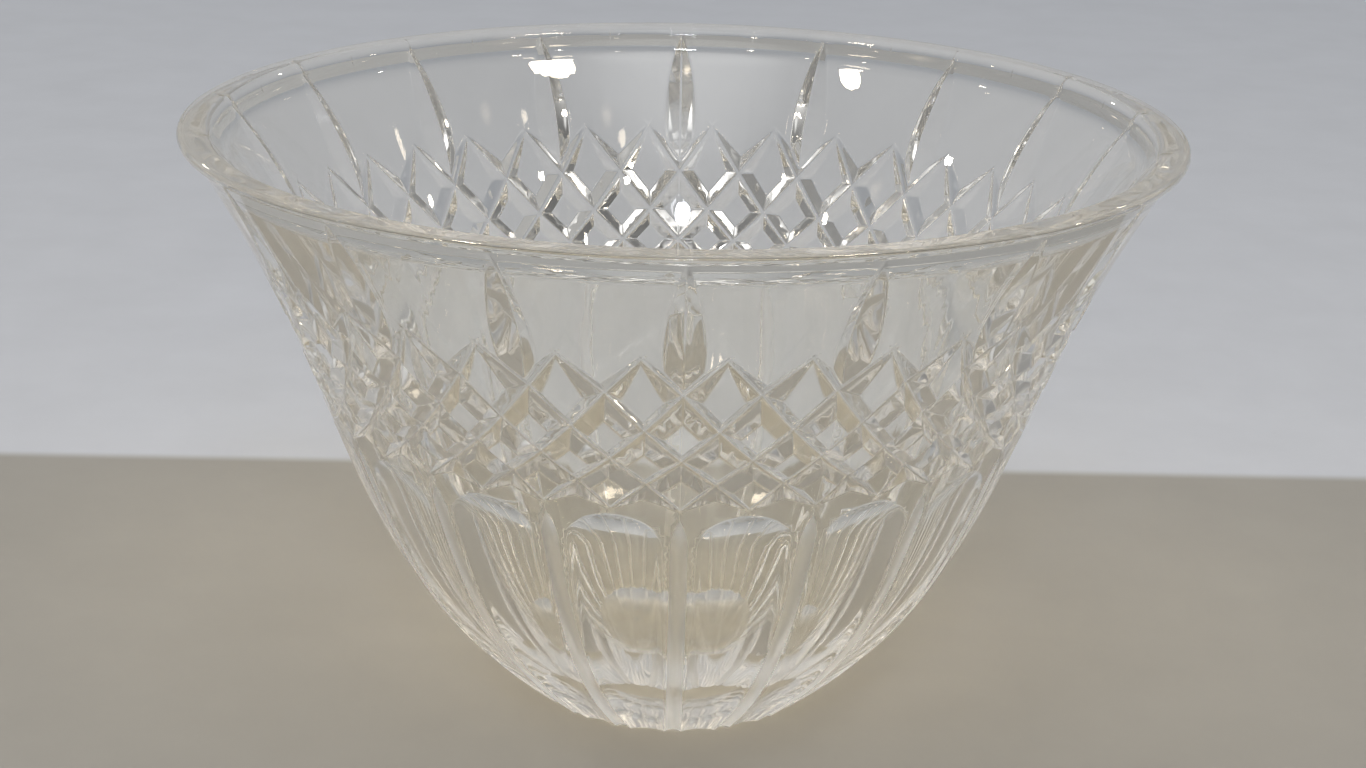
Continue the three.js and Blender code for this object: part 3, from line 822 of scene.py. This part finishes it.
WINDOW_WAY = (0.0, -0.53, 0.85)  # towards a soft window high behind the camera
WINDOW_LIGHT = {"From Min": 0.90, "From Max": 0.99, "To Min": 0.0, "To Max": 1.5}
CEILING_LIGHT = {"From Min": 0.65, "From Max": 0.98, "To Min": 0.36, "To Max": 0.8}
SIDE_LIGHT = {"From Min": -0.6, "From Max": 0.6, "To Min": 1.25, "To Max": 0.75}  # more from the left
AHEAD_FROM, AHEAD_TO = -0.8, 0.1  # between which the room grows lighter away from the camera


def set_room(scene, stage):
    """Soft light from a pale ceiling, from behind the bowl and from a window behind the camera."""
    world = bpy.data.worlds.new("room")
    world.use_nodes = True
    tree = world.node_tree
    tree.nodes.clear()
    way = add_node(tree, "ShaderNodeTexCoord")
    split = add_node(tree, "ShaderNodeSeparateXYZ", None, {"Vector": way.outputs["Generated"]})
    above = add_node(tree, "ShaderNodeMapRange", CEILING_LIGHT, {"Value": split.outputs["Z"]},
                     interpolation_type="SMOOTHSTEP")
    ahead = add_node(tree, "ShaderNodeMapRange",
                     {"From Min": AHEAD_FROM, "From Max": AHEAD_TO, "To Min": stage.dark_side, "To Max": 1.0},
                     {"Value": split.outputs["Y"]}, interpolation_type="SMOOTHSTEP")
    aside = add_node(tree, "ShaderNodeMapRange", SIDE_LIGHT, {"Value": split.outputs["X"]},
                     interpolation_type="SMOOTHSTEP")
    level = add_node(tree, "ShaderNodeMath", None,
                     {0: above.outputs["Result"], 1: ahead.outputs["Result"]}, operation="MULTIPLY")
    level = add_node(tree, "ShaderNodeMath", None,
                     {0: level.outputs["Value"], 1: aside.outputs["Result"]}, operation="MULTIPLY")
    toward = add_node(tree, "ShaderNodeVectorMath", {1: WINDOW_WAY}, {0: way.outputs["Generated"]},
                      operation="DOT_PRODUCT")
    window = add_node(tree, "ShaderNodeMapRange", WINDOW_LIGHT, {"Value": toward.outputs["Value"]},
                      interpolation_type="SMOOTHSTEP")
    level = add_node(tree, "ShaderNodeMath", None,
                     {0: level.outputs["Value"], 1: window.outputs["Result"]}, operation="ADD")
    light = add_node(tree, "ShaderNodeBackground", {"Color": stage.room},
                     {"Strength": level.outputs["Value"]})
    add_node(tree, "ShaderNodeOutputWorld", None, {"Surface": light.outputs["Background"]})
    scene.world = world


GLASS_BOUNCES = 40  # so that light finds its way out of the cuts


class CRYSTALBOWL_OT_set_stage(bpy.types.Operator):
    """Set the table, the light and the camera"""
    bl_idname = "crystalbowl.set_stage"
    bl_label = "Table, light and camera"

    def execute(self, context):
        scene = context.scene
        stage = scene.crystal_bowl_stage
        mesh = bpy.data.meshes.new("table_top")
        square = ((-1, -1), (1, -1), (1, 1), (-1, 1))
        corners = [(x * TABLE_REACH, y * TABLE_REACH, -TABLE_GAP) for x, y in square]
        mesh.from_pydata(corners, [], [(0, 1, 2, 3)])
        mesh.materials.append(table_top(stage))
        table = bpy.data.objects.new("table_top", mesh)
        scene.collection.objects.link(table)
        set_room(scene, stage)
        set_lamps(scene, stage)
        set_camera(scene)
        scene.view_settings.view_transform = "Standard"
        scene.cycles.max_bounces = GLASS_BOUNCES
        scene.cycles.transmission_bounces = GLASS_BOUNCES
        scene.cycles.glossy_bounces = GLASS_BOUNCES
        return {"FINISHED"}


class CRYSTALBOWL_PT_panel(bpy.types.Panel):
    """The bowl's pieces and settings"""
    bl_idname = "CRYSTALBOWL_PT_panel"
    bl_label = "Cut crystal bowl"
    bl_space_type = "VIEW_3D"
    bl_region_type = "UI"
    bl_category = "Crystal bowl"

    def draw(self, context):
        for operator in OPERATORS:
            self.layout.operator(operator.bl_idname)
        for name in GROUPS:
            group = getattr(context.scene, name)
            column = self.layout.column(heading=group.bl_rna.name)
            for key in group.bl_rna.properties.keys():
                if key not in ("rna_type", "name"):
                    column.prop(group, key)


GROUPS = {
    "crystal_bowl_form": CrystalBowlForm,
    "crystal_bowl_cuts": CrystalBowlCuts,
    "crystal_bowl_glass": CrystalBowlGlass,
    "crystal_bowl_stage": CrystalBowlStage,
}
OPERATORS = (CRYSTALBOWL_OT_cut_bowl, CRYSTALBOWL_OT_set_stage)


def register():
    for kind in (*GROUPS.values(), *OPERATORS, CRYSTALBOWL_PT_panel):
        bpy.utils.register_class(kind)
    for name, group in GROUPS.items():
        setattr(bpy.types.Scene, name, bpy.props.PointerProperty(type=group))


def unregister():
    for name in GROUPS:
        delattr(bpy.types.Scene, name)
    for kind in (CRYSTALBOWL_PT_panel, *OPERATORS, *GROUPS.values()):
        bpy.utils.unregister_class(kind)


def main():
    register()
    bpy.ops.crystalbowl.cut_bowl()
    bpy.ops.crystalbowl.set_stage()


if __name__ == "__main__":
    main()
